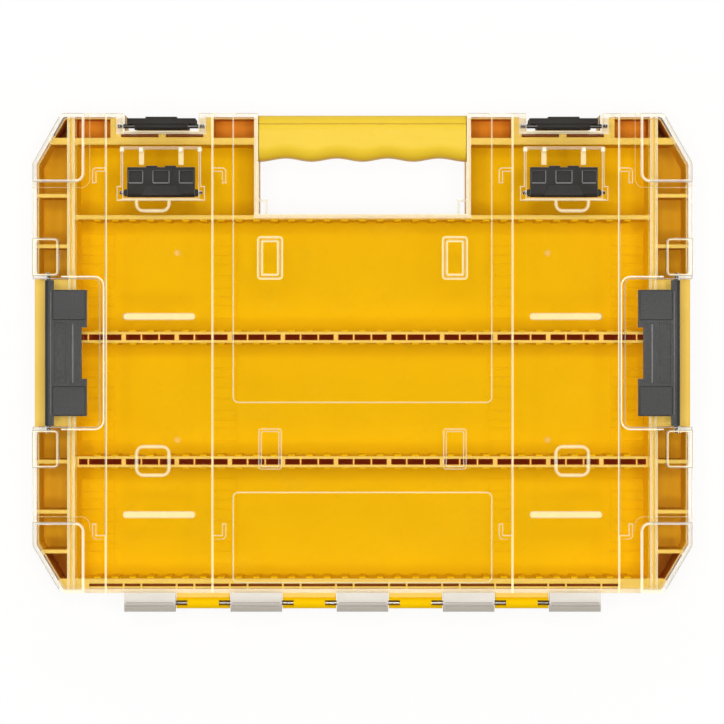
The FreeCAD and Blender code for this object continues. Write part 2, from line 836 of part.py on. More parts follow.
def side_latch():
    """A broad latch that lies in the lid's recess and swings up to hold the case above."""
    low = side_pivot_z - side_latch_thickness / 2
    top = side_pivot_z + side_latch_thickness / 2
    half = side_latch_length / 2
    inner = side_pivot_x - side_latch_reach
    plate = box(inner, side_pivot_x, middle_y - half, middle_y + half, low, top)
    half_neck = side_latch_neck / 2
    head = rod_along_y(
        middle_y - half_neck, middle_y + half_neck, side_pivot_x, side_pivot_z, side_latch_head_radius)
    neck = box(
        side_pivot_x - side_latch_neck_width, side_pivot_x,
        middle_y - half_neck, middle_y + half_neck, low, top)
    lip = box(
        inner, inner + side_latch_lip_width, middle_y - half, middle_y + half, low - side_latch_lip, low)
    waist = box(
        inner - overrun, inner + side_latch_waist_cut,
        middle_y - side_latch_waist_length / 2, middle_y + side_latch_waist_length / 2,
        low - side_latch_lip - overrun, top + overrun)
    band_x = side_pivot_x - side_latch_band_setback
    band = box(
        band_x - side_latch_band_width, band_x,
        middle_y - side_latch_band_length / 2, middle_y + side_latch_band_length / 2,
        top - side_latch_band_cut, top + overrun)
    latch = plate.fuse([head, neck, lip])
    return latch.cut([waist, band, side_pin(running_gap)]).removeSplitter()


def write(name, shape):
    """Write one sub-part to its own file."""
    solid = shape.Solids[0] if len(shape.Solids) == 1 else shape
    print(name, len(shape.Solids), solid.isValid(), round(solid.Volume / 1000, 2))
    solid.exportStep(os.path.join("parts", name + ".step"))


def write_pair(name, shape):
    """Write a right-hand sub-part and its mirror image."""
    right, left = both_sides(shape)
    write(name + "_right", right)
    write(name + "_left", left)


os.makedirs("parts", exist_ok=True)
write("base_tray", base_tray())
write("carry_handle", carry_handle())
write("row_divider_lower", row_divider(divider_place_shares[0]))
write("row_divider_upper", row_divider(divider_place_shares[1]))
write("hinge_rod", hinge_rod())
write("lid", lid())
write_pair("front_latch", front_latch())
write_pair("front_latch_pin", front_pin(0))
write_pair("stack_clip", stack_clip())
write_pair("stack_clip_pin", clip_pin(0))
write_pair("side_latch", side_latch())
write_pair("side_latch_pin", side_pin(0))
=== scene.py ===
import bmesh
import bpy
import math
from mathutils import Matrix, Vector


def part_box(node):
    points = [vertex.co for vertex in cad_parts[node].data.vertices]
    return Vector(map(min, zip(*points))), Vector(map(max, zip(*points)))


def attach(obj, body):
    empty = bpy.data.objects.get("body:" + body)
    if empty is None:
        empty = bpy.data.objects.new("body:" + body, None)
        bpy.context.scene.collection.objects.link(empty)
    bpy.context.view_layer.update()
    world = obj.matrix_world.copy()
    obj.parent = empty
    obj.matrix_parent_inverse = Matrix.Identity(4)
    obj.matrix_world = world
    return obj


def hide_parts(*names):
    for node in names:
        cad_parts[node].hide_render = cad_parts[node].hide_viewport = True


# Looks of a flat storage case: yellow tray, clear hinged lid, black latches. Lengths in metres.
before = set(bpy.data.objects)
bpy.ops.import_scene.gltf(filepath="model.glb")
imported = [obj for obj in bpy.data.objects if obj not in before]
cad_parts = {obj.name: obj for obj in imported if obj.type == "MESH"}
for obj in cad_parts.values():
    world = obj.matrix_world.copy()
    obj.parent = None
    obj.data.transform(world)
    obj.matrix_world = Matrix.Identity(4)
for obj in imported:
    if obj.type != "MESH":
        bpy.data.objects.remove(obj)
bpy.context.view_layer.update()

MM = 0.001
BASE = "base"
LID = "lid"

# Heights and lines on the case, in metres
LID_TOP = 62.0 * MM
LID_LOW = 44.3 * MM
HINGE_LINE = -124.9 * MM
LATCH_INNER = 131.0 * MM
MARK_RISE = 0.8 * MM
LUG_RISE = 3.0 * MM
PAD_RISE = 1.2 * MM
PANEL_RISE = 0.7 * MM
PAD_STEP = 0.6 * MM

# Places on the case, in millimetres; pairs are a low and a high side
FRONT_EDGE = 136.5
BACK_EDGE = -125.3
MARK_CORNERS = ((147.5, 74.3), (106.6, -96.4))
LUG_CORNERS = ((165.6,), (68.3, 47.5, -36.3, -57.1))
RIB_COLUMNS = (81.8, 140.0)
MARK_SPLITS = (140.6, 81.2)
BAR_X = (91, 133)
BAR_FRONT = 90
POCKET_RIB_X = (95, 125)
POCKET_RIB_Z = (53.5, 61)
POCKET_RIB_BACK = 108
RIM_SIDE = 164
RIM_FRONT = 134.2
TAB_LINE = -125.5
UNDERSIDE = 2.4
WALL_TOP = 43.5
CUT_CORNER_X = 160
BACK_SLOT_Y = (-122.6, -121.0)
LATCH_SLOT_Y = (124.0, 125.6)
LATCH_SLOT_X = (87, 133)
LATCH_RECESS_Y = (126.7, 136.6)
LATCH_RECESS_X = (89, 131)
HAND_GAP_WALL_X = (56.8, 57.2)
ROW_WALL_X = (156.8, 157.0)
SIDE_POCKET_X = (161.0, 177.6)
SIDE_POCKET_OUTER = 170
CORNER_POCKETS_Y = (-104, 123.7)
FRONT_POCKET_Y = (123.7, 134.4)
FRONT_POCKET_X = (59, 161)
GROOVE_Y = (131.0, 132.0)
GROOVE_LOW = 30


# Finishes

def start_finish(name):
    """A new material with its node tree, shader and object coordinates."""
    finish = bpy.data.materials.new(name)
    finish.use_nodes = True
    tree = finish.node_tree
    shader = tree.nodes["Principled BSDF"]
    place = tree.nodes.new("ShaderNodeTexCoord")
    return finish, tree, shader, place


def stretched(tree, place, scale):
    """Object coordinates scaled along each axis."""
    mapping = tree.nodes.new("ShaderNodeMapping")
    mapping.inputs["Scale"].default_value = scale
    tree.links.new(place.outputs["Object"], mapping.inputs["Vector"])
    return mapping.outputs["Vector"]


def cloud(tree, vector, scale, detail):
    """A soft noise value over given coordinates."""
    noise = tree.nodes.new("ShaderNodeTexNoise")
    noise.inputs["Scale"].default_value = scale
    noise.inputs["Detail"].default_value = detail
    tree.links.new(vector, noise.inputs["Vector"])
    return noise.outputs["Fac"]


def spread(tree, value, low, high):
    """A noise value taken from its middle range to a range of its own."""
    mapped = tree.nodes.new("ShaderNodeMapRange")
    mapped.inputs["From Min"].default_value = 0.3
    mapped.inputs["From Max"].default_value = 0.7
    mapped.inputs["To Min"].default_value = low
    mapped.inputs["To Max"].default_value = high
    tree.links.new(value, mapped.inputs["Value"])
    return mapped.outputs["Result"]


def tinted(tree, value, first, second):
    """A colour that runs between two tints."""
    ramp = tree.nodes.new("ShaderNodeValToRGB")
    ramp.color_ramp.elements[0].position = 0.32
    ramp.color_ramp.elements[1].position = 0.68
    ramp.color_ramp.elements[0].color = (*first, 1)
    ramp.color_ramp.elements[1].color = (*second, 1)
    tree.links.new(value, ramp.inputs["Fac"])
    return ramp.outputs["Color"]


def grain_bump(tree, value, shader, strength, depth):
    bump = tree.nodes.new("ShaderNodeBump")
    bump.inputs["Strength"].default_value = strength
    bump.inputs["Distance"].default_value = depth
    tree.links.new(value, bump.inputs["Height"])
    tree.links.new(bump.outputs["Normal"], shader.inputs["Normal"])


def moulded_finish(name, first, second, smooth, rough, grain, strength, shine):
    """Opaque moulded plastic: soft flow marks in its colour and a fine grain."""
    finish, tree, shader, place = start_finish(name)
    vector = place.outputs["Object"]
    flow = cloud(tree, stretched(tree, place, (1.0, 1.6, 1.0)), 22, 4)
    fine = cloud(tree, vector, grain, 3)
    tree.links.new(tinted(tree, flow, first, second), shader.inputs["Base Color"])
    tree.links.new(spread(tree, fine, smooth, rough), shader.inputs["Roughness"])
    grain_bump(tree, fine, shader, strength, 0.2 * MM)
    shader.inputs["IOR"].default_value = 1.46
    shader.inputs["Specular IOR Level"].default_value = shine
    return finish


def add_painted_glow(finish, colour, strength):
    """Adds a painted glow, an emission that stands in for the light a thin skin lets through from its other
    side.
    """
    shader = finish.node_tree.nodes["Principled BSDF"]
    shader.inputs["Emission Color"].default_value = (*colour, 1)
    shader.inputs["Emission Strength"].default_value = strength
    return finish


def lets_lamps_through(finish, tree, shader):
    """Shadow and diffuse rays pass straight through, so the lamps reach what lies below."""
    path = tree.nodes.new("ShaderNodeLightPath")
    either = tree.nodes.new("ShaderNodeMath")
    either.operation = "MAXIMUM"
    through = tree.nodes.new("ShaderNodeBsdfTransparent")
    mix = tree.nodes.new("ShaderNodeMixShader")
    tree.links.new(path.outputs["Is Shadow Ray"], either.inputs[0])
    tree.links.new(path.outputs["Is Diffuse Ray"], either.inputs[1])
    tree.links.new(either.outputs[0], mix.inputs[0])
    tree.links.new(shader.outputs["BSDF"], mix.inputs[1])
    tree.links.new(through.outputs["BSDF"], mix.inputs[2])
    tree.links.new(mix.outputs["Shader"], tree.nodes["Material Output"].inputs["Surface"])
    return finish


def clear_finish(name):
    """Clear polished plastic with a trace of moulding ripple."""
    finish, tree, shader, place = start_finish(name)
    ripple = cloud(tree, stretched(tree, place, (1.0, 2.0, 1.0)), 30, 2)
    shader.inputs["Base Color"].default_value = (0.985, 0.985, 0.975, 1)
    shader.inputs["Transmission Weight"].default_value = 1
    shader.inputs["IOR"].default_value = 1.46
    tree.links.new(spread(tree, ripple, 0.0, 0.03), shader.inputs["Roughness"])
    grain_bump(tree, ripple, shader, 0.02, 0.3 * MM)
    return lets_lamps_through(finish, tree, shader)


def painted_light_finish(name, colour, cover, rough):
    """A part-opaque colour painted on edges and lines of the clear plastic: pale for painted reflection, grey
    for painted shade.
    """
    finish, tree, shader, place = start_finish(name)
    streak = cloud(tree, stretched(tree, place, (1.0, 1.0, 2.0)), 160, 3)
    pale = tuple(0.95 * part for part in colour)
    tree.links.new(tinted(tree, streak, pale, colour), shader.inputs["Base Color"])
    tree.links.new(spread(tree, streak, 0.8 * rough, 1.2 * rough), shader.inputs["Roughness"])
    shader.inputs["Alpha"].default_value = cover
    shader.inputs["IOR"].default_value = 1.46
    return finish


def frosted_finish(name, outer, inner):
    """Frosted hinge tabs, paler towards the lid."""
    finish, tree, shader, place = start_finish(name)
    parts = tree.nodes.new("ShaderNodeSeparateXYZ")
    along = tree.nodes.new("ShaderNodeMapRange")
    along.inputs["From Min"].default_value = -136.0 * MM
    along.inputs["From Max"].default_value = -126.0 * MM
    tree.links.new(place.outputs["Object"], parts.inputs[0])
    tree.links.new(parts.outputs["Y"], along.inputs["Value"])
    tree.links.new(tinted(tree, along.outputs["Result"], outer, inner), shader.inputs["Base Color"])
    streak = cloud(tree, stretched(tree, place, (0.2, 1.0, 1.0)), 240, 3)
    tree.links.new(spread(tree, streak, 0.24, 0.4), shader.inputs["Roughness"])
    grain_bump(tree, streak, shader, 0.1, 0.1 * MM)
    shader.inputs["Alpha"].default_value = 0.84
    shader.inputs["IOR"].default_value = 1.46
    return finish


def steel_finish(name, dark, light, rough):
    """Drawn steel with fine marks along its length."""
    finish, tree, shader, place = start_finish(name)
    marks = cloud(tree, stretched(tree, place, (0.04, 1.0, 1.0)), 2400, 3)
    tree.links.new(tinted(tree, marks, dark, light), shader.inputs["Base Color"])
    tree.links.new(spread(tree, marks, 0.8 * rough, 1.25 * rough), shader.inputs["Roughness"])
    grain_bump(tree, marks, shader, 0.1, 0.05 * MM)
    shader.inputs["Metallic"].default_value = 1
    return finish


tray_yellow = moulded_finish(
    "tray_yellow", (0.81, 0.482, 0.0), (0.84, 0.505, 0.0), 0.55, 0.7, 1500, 0.04, 0.03)
# painted highlight: a paler yellow for the lit wall tops, rims, recess and hand gap walls of the tray
tray_top_highlight = moulded_finish(
    "tray_top_painted_highlight", (0.8, 0.51, 0.08), (0.83, 0.54, 0.1), 0.45, 0.55, 1500, 0.02, 0.12)
# painted shade: a deeper orange for the narrow side pockets
side_pocket_shade = moulded_finish(
    "side_pocket_painted_shade", (0.75, 0.42, 0.012), (0.78, 0.44, 0.015), 0.55, 0.7, 1500, 0.05, 0.05)
# painted shade: a reddish orange for the front and corner pockets
front_pocket_shade = moulded_finish(
    "front_pocket_painted_shade", (0.76, 0.265, 0.012), (0.79, 0.285, 0.016), 0.55, 0.7, 1500, 0.05, 0.05)
# painted shade: a dark red for the deep latch and back slots
slot_painted_shade = moulded_finish(
    "slot_painted_shade", (0.34, 0.075, 0.006), (0.38, 0.085, 0.008), 0.5, 0.65, 1500, 0.05, 0.05)
# painted shade and painted glow: dark red with a weak emission in the divider slots
slot_shade_and_painted_glow = add_painted_glow(
    moulded_finish("slot_shade_and_painted_glow", (0.5, 0.09, 0.006), (0.54, 0.1, 0.008), 0.5, 0.65, 1500, 0.05, 0.05),
    (1.0, 0.16, 0.012), 0.06)
# painted shade and painted glow: the side pocket orange with an emission on the outer pocket walls
side_wall_shade_and_glow = add_painted_glow(
    moulded_finish("side_wall_painted_shade_and_glow", (0.75, 0.42, 0.012), (0.78, 0.44, 0.015), 0.55, 0.7, 1500, 0.04, 0.03),
    (1.0, 0.42, 0.01), 0.13)
# painted glow: tray yellow with an emission on the row walls
row_wall_painted_glow = add_painted_glow(
    moulded_finish("row_wall_painted_glow_finish", (0.81, 0.482, 0.0), (0.84, 0.505, 0.0), 0.55, 0.7, 1500, 0.04, 0.03),
    (1.0, 0.55, 0.0), 0.16)
grip_yellow = moulded_finish(
    "grip_yellow", (0.76, 0.515, 0.025), (0.79, 0.545, 0.032), 0.42, 0.56, 1100, 0.12, 0.22)
# painted highlight: a paler yellow on the grip's softened edges
grip_edge_highlight = moulded_finish(
    "grip_edge_painted_highlight", (0.84, 0.6, 0.08), (0.86, 0.62, 0.1), 0.36, 0.46, 1100, 0.08, 0.25)
# painted shade: a darker yellow in the grip's groove
grip_groove_painted_shade = moulded_finish(
    "grip_groove_painted_shade", (0.62, 0.41, 0.02), (0.66, 0.44, 0.025), 0.5, 0.6, 1100, 0.08, 0.1)
latch_black = moulded_finish(
    "latch_black", (0.027, 0.027, 0.026), (0.036, 0.036, 0.035), 0.42, 0.6, 1300, 0.2, 0.3)
latch_dark = moulded_finish(
    "latch_deep_black", (0.018, 0.015, 0.013), (0.024, 0.021, 0.018), 0.46, 0.62, 1300, 0.2, 0.18)
# painted highlight: grey on the latches' softened edges, ridges and window bars
latch_edge_highlight = moulded_finish(
    "latch_edge_painted_highlight", (0.075, 0.074, 0.071), (0.11, 0.109, 0.105), 0.35, 0.5, 700, 0.15, 0.4)
lid_clear = clear_finish("lid_clear")
# painted reflection: pale part-opaque colours on the lid's chamfers, ribs, seals, walls and rims
lid_edge_reflection = painted_light_finish("lid_edge_painted_reflection", (0.93, 0.85, 0.61), 0.62, 0.25)
lid_rib_reflection = painted_light_finish("lid_rib_painted_reflection", (0.94, 0.83, 0.44), 0.56, 0.25)
lid_seal_reflection = painted_light_finish("lid_seal_painted_reflection", (0.92, 0.83, 0.55), 0.34, 0.25)
lid_wall_reflection = painted_light_finish("lid_wall_painted_reflection", (0.93, 0.86, 0.64), 0.48, 0.25)
lid_rim_reflection = painted_light_finish("lid_rim_painted_reflection", (0.92, 0.9, 0.82), 0.74, 0.3)
# painted shade: grey along the lid's outline
lid_outline_shade = painted_light_finish("lid_outline_painted_shade", (0.5, 0.47, 0.4), 0.72, 0.25)
hinge_frost = frosted_finish("hinge_tab_frost", (0.5, 0.45, 0.39), (0.6, 0.55, 0.475))
# painted shade: grey lines on the hinge tabs
tab_shadow = painted_light_finish("tab_line_painted_shade", (0.3, 0.27, 0.23), 0.8, 0.3)
pin_steel = steel_finish("pin_dark_steel", (0.05, 0.048, 0.045), (0.12, 0.115, 0.11), 0.4)
rod_steel = steel_finish("rod_drawn_steel", (0.2, 0.18, 0.16), (0.4, 0.37, 0.34), 0.36)


# Pieces

def add_piece(name, mesh, body, finishes):
    """A finished mesh as an object that rides a body."""
    for finish in finishes:
        mesh.materials.append(finish)
    piece = bpy.data.objects.new(name, mesh)
    bpy.context.scene.collection.objects.link(piece)
    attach(piece, body)
    return piece


def shade(shape):
    """Curved strips are shaded smooth; every broad face stays flat."""
    shape.normal_update()
    least = math.radians(1)
    most = math.radians(26)
    turns = {edge: edge.calc_face_angle(math.pi) for edge in shape.edges}
    for edge, turn in turns.items():
        edge.smooth = turn < most
    for face in shape.faces:
        around = face.calc_perimeter()
        curved = sum(edge.calc_length() for edge in face.edges if least < turns[edge] < most)
        is_strip = 2 * face.calc_area() < 4 * MM * around
        face.smooth = is_strip and curved > 0.4 * around


def to_mesh(shape, name):
    shade(shape)
    mesh = bpy.data.meshes.new(name)
    shape.to_mesh(mesh)
    shape.free()
    return mesh


def merged_copy(node):
    """A copy of a CAD node's mesh with its triangles joined into whole faces."""
    shape = bmesh.new()
    shape.from_mesh(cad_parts[node].data)
    bmesh.ops.remove_doubles(shape, verts=shape.verts, dist=0.002 * MM)
    bmesh.ops.dissolve_limit(
        shape, angle_limit=math.radians(0.6), verts=shape.verts, edges=shape.edges,
        use_dissolve_boundaries=False, delimit=set())
    for face in shape.faces:
        face.material_index = 0
    return shape


def is_corner(edge):
    """True for an outward edge sharper than a curve's own steps."""
    if len(edge.link_faces) != 2 or not edge.is_convex:
        return False
    return edge.calc_face_angle(0) > math.radians(40)


def is_level(edge):
    first, last = edge.verts
    return abs(first.co.z - last.co.z) < 0.01 * MM


def round_edges(shape, edges, round_by, segments, finish):
    """Bevel some edges and give the new faces a finish of their own."""
    made = bmesh.ops.bevel(
        shape, geom=edges, offset=round_by, offset_type="OFFSET", affect="EDGES",
        segments=segments, profile=0.5, material=-1, clamp_overlap=False, loop_slide=False)
    for face in made["faces"]:
        face.material_index = finish
    bmesh.ops.dissolve_degenerate(shape, dist=0.003 * MM, edges=shape.edges)


def show(node, shape, body, finishes):
    """A dressed copy stands for its CAD node."""
    piece = add_piece(node + "_dressed", to_mesh(shape, node + "_dressed"), body, finishes)
    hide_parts(node)


def block(shape, x, y, z, round_by, finish):
    """Add a softened block between two corners; x, y and z are pairs in millimetres."""
    place = Matrix.Translation(Vector([MM * (low + high) / 2 for low, high in (x, y, z)]))
    size = Matrix.Diagonal(Vector([MM * abs(high - low) for low, high in (x, y, z)] + [1]))
    made = bmesh.ops.create_cube(shape, size=1, matrix=place @ size)
    faces = {face for vert in made["verts"] for face in vert.link_faces}
    for face in faces:
        face.material_index = finish
    if round_by > 0:
        edges = list({edge for vert in made["verts"] for edge in vert.link_edges})
        bmesh.ops.bevel(
            shape, geom=edges, offset=round_by * MM, offset_type="OFFSET", affect="EDGES",
            segments=1, profile=0.5, material=-1)


def between(value, low, high):
    """True where a place in metres lies between two in millimetres."""
    return low * MM < value < high * MM


# Order of the finishes on the tray, on a piece with softened edges, and on the lid
TRAY_YELLOW, TRAY_HIGHLIGHT, TRAY_SIDE_SHADE, TRAY_FRONT_SHADE, TRAY_SLOT_SHADE, TRAY_SIDE_SHADE_AND_GLOW, TRAY_ROW_PAINTED_GLOW = range(7)
MAIN, EDGE, INNER_SHADE = range(3)
CLEAR, EDGE_REFLECTION, RIB, SEAL, RIM, FROST, WALL, OUTLINE = range(8)


def tray_finish(face):
    """Painted highlight on wall tops, the latch recess and the hand gap walls; painted shade in the pockets
    and slots that light hardly reaches, and a painted glow on some pocket and row walls.
    """
    place = face.calc_center_bounds()
    across = abs(place.x)
    is_upright = abs(face.normal.z) < 0.5
    faces_out = face.normal.x * place.x > 0 and abs(face.normal.y) > 0.2
    if faces_out and across > CUT_CORNER_X * MM or place.z < UNDERSIDE * MM:
        return face.material_index
    if place.z > WALL_TOP * MM:
        # painted highlight on the level wall tops
        is_top = face.normal.z > 0.9 and place.y > HINGE_LINE
        return TRAY_HIGHLIGHT if is_top else face.material_index
    # painted shade in the latch slots and the back slot
    in_latch_slot = between(place.y, *LATCH_SLOT_Y) and between(across, *LATCH_SLOT_X)
    if in_latch_slot or between(place.y, *BACK_SLOT_Y):
        return TRAY_SLOT_SHADE
    # painted highlight on the latch recess
    if between(place.y, *LATCH_RECESS_Y) and between(across, *LATCH_RECESS_X):
        return TRAY_HIGHLIGHT
    # painted highlight on the hand gap walls
    if is_upright and between(across, *HAND_GAP_WALL_X):
        return TRAY_HIGHLIGHT
    # painted shade in the side and corner pockets, with a painted glow on the outer side pocket walls
    if between(across, *SIDE_POCKET_X):
        back, front = CORNER_POCKETS_Y
        if place.y > front * MM or place.y < back * MM:
            return TRAY_FRONT_SHADE
        return TRAY_SIDE_SHADE_AND_GLOW if is_upright and across > SIDE_POCKET_OUTER * MM else TRAY_SIDE_SHADE
    # painted shade in the front pockets
    if between(place.y, *FRONT_POCKET_Y) and between(across, *FRONT_POCKET_X):
        return TRAY_FRONT_SHADE
    # painted glow on the row walls
    if is_upright and between(across, *ROW_WALL_X):
        return TRAY_ROW_PAINTED_GLOW
    return face.material_index


def dress_tray():
    """The tray, with its level rims softened and given the painted highlight."""
    shape = merged_copy("base_tray")
    rims = [
        edge for edge in shape.edges
        if is_corner(edge) and is_level(edge) and min(v.co.y for v in edge.verts) > HINGE_LINE]
    round_edges(shape, rims, 0.35 * MM, 2, TRAY_HIGHLIGHT)
    for face in shape.faces:
        face.material_index = tray_finish(face)
    show("base_tray", shape, BASE,
         [tray_yellow, tray_top_highlight, side_pocket_shade, front_pocket_shade, slot_painted_shade, side_wall_shade_and_glow, row_wall_painted_glow])


def dress_divider(node):
    """A divider with soft top edges in the painted highlight, and slots painted deep red as shade with a weak
    painted glow.
    """
    shape = merged_copy(node)
    low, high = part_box(node)
    top = high[2]
    middle = (low[1] + high[1]) / 2
    rims = [
        edge for edge in shape.edges
        if is_corner(edge) and is_level(edge) and edge.verts[0].co.z > top - 0.1 * MM]
    round_edges(shape, rims, 0.25 * MM, 2, EDGE)
    for face in shape.faces:
        place = face.calc_center_median()
        in_slots = abs(place.y - middle) < 1.6 * MM and abs(place.x) < 156 * MM
        if face.normal.z > 0.9 and place.z > top - 0.5 * MM:
            face.material_index = EDGE
        elif in_slots and place.z > 0.5 * MM:
            face.material_index = INNER_SHADE
    show(node, shape, BASE, [tray_yellow, tray_top_highlight, slot_shade_and_painted_glow])


def dress_plain(node, body, finishes, round_by):
    """A small node with its outward edges softened, but for those on a front latch's inner face."""
    shape = merged_copy(node)
    corners = [
        edge for edge in shape.edges
        if is_corner(edge) and not all(abs(v.co.y - LATCH_INNER) < 0.1 * MM for v in edge.verts)]
    # the softened edges take the second finish, which is a painted highlight on the latches
    round_edges(shape, corners, round_by, 2, EDGE)
    show(node, shape, body, finishes)


def is_near(value, places, reach):
    return any(abs(value - place * MM) < reach for place in places)


def bend_corners(shape, height, places, radius):
    """Round the upright outward corners of one height at given columns and rows."""
    columns, rows = places
    corners = []
    for edge in shape.edges:
        if is_level(edge) or not is_corner(edge) or abs(edge.calc_length() - height) > 0.05 * MM:
            continue
        place = edge.verts[0].co
        if is_near(abs(place.x), columns, 0.8 * MM) and is_near(place.y, rows, 1.2 * MM):
            corners.append(edge)
    bmesh.ops.bevel(
        shape, geom=corners, offset=radius, offset_type="OFFSET", affect="EDGES",
        segments=5, profile=0.5, material=-1)


def reflection_border(shape, rise, width, finish):
    """A strip of painted reflection round every raised plate of one height."""
    tops = [
        face for face in shape.faces
        if face.normal.z > 0.9 and abs(face.calc_center_median().z - LID_TOP - rise) < 0.03 * MM]
    made = bmesh.ops.inset_region(shape, faces=tops, thickness=width, depth=0, use_even_offset=True)
    for face in made["faces"]:
        face.material_index = finish


def lid_edges(shape):
    """Upper outward edges, and the lower ones of the pad steps."""
    step = LID_TOP + PAD_STEP
    upper = []
    lower = []
    for edge in shape.edges:
        if not is_corner(edge) or not is_level(edge):
            continue
        if min(v.co.y for v in edge.verts) < HINGE_LINE:
            continue
        height = edge.verts[0].co.z
        if abs(height - step) < 0.05 * MM:
            lower.append(edge)
        elif height > LID_TOP - 0.1 * MM:
            upper.append(edge)
    return upper, lower


def is_rim(face):
    """True for the level underside of the lid's walls."""
    return face.normal.z < -0.9 and face.calc_center_median().z < LID_LOW + 0.1 * MM


def is_mark(face):
    """True for the level top of a rib, bar or other low mark on the lid."""
    return face.normal.z > 0.9 and abs(face.calc_center_median().z - LID_TOP - MARK_RISE) < 0.05 * MM


def split_faces(shape, wanted, planes):
    """Part flat faces along upright planes, each given as a direction and a place in millimetres."""
    bmesh.ops.triangulate(shape, faces=[face for face in shape.faces if wanted(face)])
    for way, place in planes:
        normal = Vector((*way, 0))
        faces = [face for face in shape.faces if wanted(face)]
        parts = list({vert for face in faces for vert in face.verts})
        parts += list({edge for face in faces for edge in face.edges})
        bmesh.ops.bisect_plane(
            shape, geom=parts + faces, dist=0.001 * MM, plane_co=normal * place * MM, plane_no=normal)


def is_outer_edge(place):
    """True close to the outline of the case, cut corners included."""
    across = abs(place.x)
    to_end = min(FRONT_EDGE * MM - place.y, place.y - BACK_EDGE * MM)
    on_cut_corner = across + 0.6 * to_end > 179.0 * MM
    return across > 179.3 * MM or to_end < 0.7 * MM or on_cut_corner


def lid_finish(face):
    """Clear plates; ribs, rims, seals and walls painted pale as reflection; outline edges painted grey as
    shade; frosted hinge tabs.
    """
    place = face.calc_center_median()
    across = abs(place.x)
    if place.y < TAB_LINE * MM:
        return FROST
    if is_rim(face):
        is_outer = across > RIM_SIDE * MM or place.y > RIM_FRONT * MM
        return RIM if is_outer else WALL
    if face.normal.z < -0.9 and place.z < LID_LOW + 0.5 * MM:
        return SEAL
    if is_mark(face):
        is_rib = is_near(across, RIB_COLUMNS, 0.7 * MM)
        is_bar = between(across, *BAR_X) and place.y < BAR_FRONT * MM
        return RIB if is_rib or is_bar else face.material_index
    over_pocket_rib = between(across, *POCKET_RIB_X) and place.y > POCKET_RIB_BACK * MM
    if face.normal.z > 0.9 and between(place.z, *POCKET_RIB_Z) and over_pocket_rib:
        return RIB
    if face.material_index == EDGE_REFLECTION and is_outer_edge(place):
        return OUTLINE
    return face.material_index


def dress_lid():
    """The clear lid, with painted reflection on the chamfers along its upper edges, its ribs, borders and
    rims, and a painted grey shade along its outline.
    """
    shape = merged_copy("lid")
    bend_corners(shape, MARK_RISE, MARK_CORNERS, radius=2.2 * MM)
    bend_corners(shape, LUG_RISE, LUG_CORNERS, radius=2.4 * MM)
    reflection_border(shape, PAD_RISE, width=1.5 * MM, finish=EDGE_REFLECTION)
    reflection_border(shape, PANEL_RISE, width=0.7 * MM, finish=RIB)
    reflection_border(shape, LUG_RISE, width=1.2 * MM, finish=RIB)
    upper, lower = lid_edges(shape)
    round_edges(shape, upper, 0.55 * MM, 1, EDGE_REFLECTION)
    lower = [edge for edge in lower if edge.is_valid and is_corner(edge)]
    round_edges(shape, lower, 0.25 * MM, 1, RIB)
    right, left, front = (1, 0), (-1, 0), (0, 1)
    split_faces(shape, is_rim, ((right, RIM_SIDE), (left, RIM_SIDE), (front, RIM_FRONT)))
    split_faces(shape, is_mark, [(way, place) for place in MARK_SPLITS for way in (right, left)])
    for face in shape.faces:
        face.material_index = lid_finish(face)
    show("lid", shape, LID,
         [lid_clear, lid_edge_reflection, lid_rib_reflection, lid_seal_reflection, lid_rim_reflection, hinge_frost, lid_wall_reflection, lid_outline_shade])


def dress_handle():
    """The grip, with a painted highlight on its softened edges and a painted shade line in its groove."""
    shape = merged_copy("carry_handle")
    round_edges(shape, [edge for edge in shape.edges if is_corner(edge)], 0.2 * MM, 2, EDGE)
    for face in shape.faces:
        place = face.calc_center_median()
        if between(place.y, *GROOVE_Y) and place.z > GROOVE_LOW * MM:
            face.material_index = INNER_SHADE
    show("carry_handle", shape, BASE, [grip_yellow, grip_edge_highlight, grip_groove_painted_shade])


dress_tray()
dress_divider("row_divider_lower")
dress_divider("row_divider_upper")
dress_handle()
dress_plain("hinge_rod", BASE, [rod_steel, rod_steel], 0.2 * MM)
for side in ("left", "right"):
    for latch in ("front_latch_", "stack_clip_", "side_latch_"):
        main = latch_black if latch == "side_latch_" else latch_dark
        soft = 0.12 * MM if latch == "front_latch_" else 0.25 * MM
        dress_plain(latch + side, latch + side, [main, latch_edge_highlight], soft)
        dress_plain(latch + "pin_" + side, LID, [pin_steel, pin_steel], 0.15 * MM)
dress_lid()


# Small moulded details

FLOOR = 2.5
ROW_MIDDLES = (-87.9, -19.6, 48.6)
LINE_STEPS = (0.0, 6.6, 11.9, 16.7, 24.0)
STEP_COLUMNS = ((-156.6, -138.1), (-83.4, -70.0), (70.0, 83.4), (138.1, 156.6))
HINGE_PITCH = 58.3
DIVIDER_HALF = 3.1
ROW_ENDS = ((78.9, -1), (-118.2, 1))
DIVIDERS = ((-54.14, 1), (-54.14, -1), (14.25, 1), (14.25, -1))
GUIDE_SINK = 0.3
GUIDE_DEPTH = 0.9
GUIDE_HALF = 1.9
GUIDE_TOP = 41.0
GATE_COLUMNS = (-103.2, 103.2)
GATE_ROWS = (-42.8, 61.5)
LATCH_X = 110.002
CLIP_WINDOWS = ((-17.5, -10.0), (-4.4, 4.4), (10.0, 17.5))
CLIP_BARS = (-10.0, -4.4, 4.4, 10.0)
CLIP_TAPER = 0.78
POST_PLACES = (-21.2, -10.8, 10.8, 21.2)
RECESS_MIDDLE = 5.6
RECESS_EDGE = 141.3
RECESS_END = 164.5
RECESS_REACH = 41.7
RECESS_BEND = 5.0


